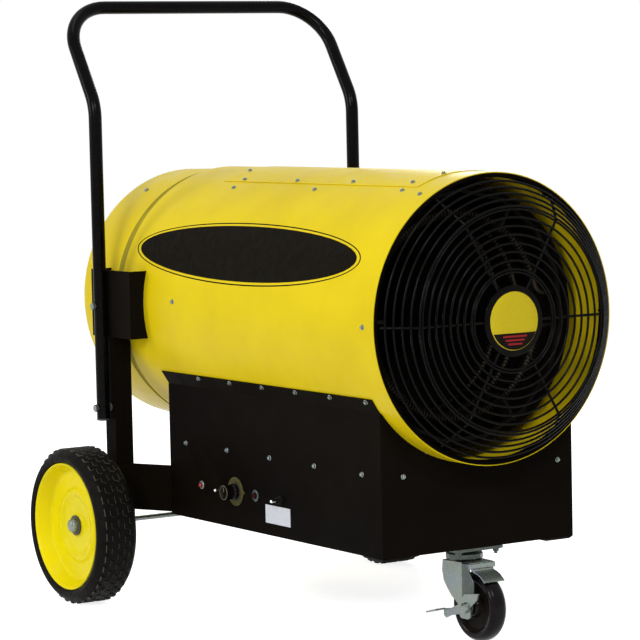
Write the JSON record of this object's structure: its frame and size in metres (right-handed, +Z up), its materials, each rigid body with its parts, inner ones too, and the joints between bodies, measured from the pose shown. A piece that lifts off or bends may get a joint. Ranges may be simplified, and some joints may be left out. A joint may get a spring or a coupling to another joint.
{
  "type": "forced air heater",
  "caption": "Wheeled electric forced air heater: a drum with fan, elements and wire guards on a control cabinet, with rear wheels, a push handle and a braked swivel caster.",
  "frame": {"origin": "on the floor, under the middle of the overall box", "axes": "+X towards the warm air outlet, +Z up, -Y towards the control panel"},
  "size_m": [1.0876, 0.7984, 1.1628],
  "materials": {
    "yellow_enamel": "gloss",
    "rim_enamel": "gloss",
    "black_enamel": "satin",
    "black_wire": "gloss",
    "zinc_plate": "satin",
    "chrome_plate": "polished",
    "tyre_rubber": "matte",
    "phenolic": "gloss",
    "element_sheath": "oxidised",
    "bare_aluminium": "mill",
    "red_lens": "gloss",
    "olive_dial": "satin",
    "motor_enamel": "satin",
    "moulded_plastic": "matte"
  },
  "bodies": {
    "chassis": {"drum_jacket": "yellow_enamel", "rear_section": "yellow_enamel", "top_access_cover": "yellow_enamel", "hub_badge": "yellow_enamel", "outlet_ring": "black_enamel", "inlet_ring": "black_enamel", "inner_liner": "black_enamel", "fan_orifice": "black_enamel", "outlet_guard": "black_wire", "inlet_guard": "black_wire", "element_rack": "bare_aluminium", "heating_element_1": "element_sheath", "heating_element_2": "element_sheath", "heating_element_3": "element_sheath", "motor_housing": "motor_enamel", "motor_mount": "black_enamel", "cabinet_side_near": "black_enamel", "cabinet_side_far": "black_enamel", "cabinet_front": "black_enamel", "cabinet_rear": "black_enamel", "cabinet_floor": "black_enamel", "wiring_baffle": "zinc_plate", "contactor": "moulded_plastic", "cable_gland": "moulded_plastic", "pilot_bezel": "chrome_plate", "pilot_lens": "red_lens", "power_switch": "zinc_plate", "thermostat_dial": "olive_dial", "reset_bezel": "chrome_plate", "fan_switch": "zinc_plate", "leg_near": "black_enamel", "leg_far": "black_enamel", "saddle_near": "black_enamel", "saddle_far": "black_enamel", "cabinet_arm_near": "black_enamel", "cabinet_arm_far": "black_enamel", "upper_bolt_near": "zinc_plate", "upper_bolt_far": "zinc_plate", "lower_bolt_near": "zinc_plate", "lower_bolt_far": "zinc_plate", "push_handle": "black_wire", "rear_axle": "zinc_plate", "cap_nut_near": "chrome_plate", "cap_nut_far": "chrome_plate", "caster_plate": "zinc_plate"},
    "near_wheel": {"wheel_rim_near": "rim_enamel", "tyre_near": "tyre_rubber"},
    "far_wheel": {"wheel_rim_far": "rim_enamel", "tyre_far": "tyre_rubber"},
    "caster_yoke": {"caster_fork": "zinc_plate", "caster_axle": "zinc_plate"},
    "front_wheel": {"caster_wheel": "phenolic"},
    "foot_lever": {"brake_lever": "zinc_plate"},
    "shoe": {"brake_shoe": "zinc_plate"},
    "fan": {"fan_rotor": "bare_aluminium", "fan_shaft": "zinc_plate"},
    "knob": {"thermostat_knob": "phenolic"},
    "power_lever": {"power_toggle": "chrome_plate"},
    "fan_lever": {"fan_toggle": "chrome_plate"},
    "reset": {"reset_button": "phenolic"}
  },
  "joints": [
    {"name": "near_wheel_roll", "type": "hinge", "parent": "chassis", "child": "near_wheel", "pos_m": [-0.3798, -0.3564, 0.15052], "axis": [0, 1, 0], "continuous": true},
    {"name": "far_wheel_roll", "type": "hinge", "parent": "chassis", "child": "far_wheel", "pos_m": [-0.3798, 0.3564, 0.15052], "axis": [0, 1, 0], "continuous": true},
    {"name": "caster_swivel", "type": "hinge", "parent": "chassis", "child": "caster_yoke", "pos_m": [0.3842, 0, 0.15], "axis": [0, 0, 1], "continuous": true},
    {"name": "caster_roll", "type": "hinge", "parent": "caster_yoke", "child": "front_wheel", "pos_m": [0.4282, 0, 0.06228], "axis": [0, 1, 0], "continuous": true},
    {"name": "brake_press", "type": "hinge", "parent": "caster_yoke", "child": "foot_lever", "pos_m": [0.4282, 0, 0.06228], "axis": [0, 1, 0], "range_deg": [-20, 0]},
    {"name": "shoe_close", "type": "hinge", "parent": "caster_yoke", "child": "shoe", "pos_m": [0.4352, 0, 0.1354], "axis": [0, 1, 0], "range_deg": [0, 3]},
    {"name": "fan_spin", "type": "hinge", "parent": "chassis", "child": "fan", "pos_m": [-0.2038, 0, 0.5754], "axis": [1, 0, 0], "continuous": true},
    {"name": "thermostat_turn", "type": "hinge", "parent": "chassis", "child": "knob", "pos_m": [-0.0498, -0.2085, 0.236], "axis": [0, 1, 0], "range_deg": [0, 270]},
    {"name": "power_flip", "type": "hinge", "parent": "chassis", "child": "power_lever", "pos_m": [-0.0908, -0.2115, 0.236], "axis": [1, 0, 0], "range_deg": [-14, 14]},
    {"name": "fan_flip", "type": "hinge", "parent": "chassis", "child": "fan_lever", "pos_m": [0.1062, -0.2115, 0.236], "axis": [1, 0, 0], "range_deg": [-14, 14]},
    {"name": "reset_push", "type": "slide", "parent": "chassis", "child": "reset", "axis": [0, 1, 0], "range_m": [0, 0.003], "stiffness_N_per_m": 300}
  ],
  "couplings": [
    {"joint": "shoe_close", "follows": "brake_press", "ratio": -0.15}
  ]
}
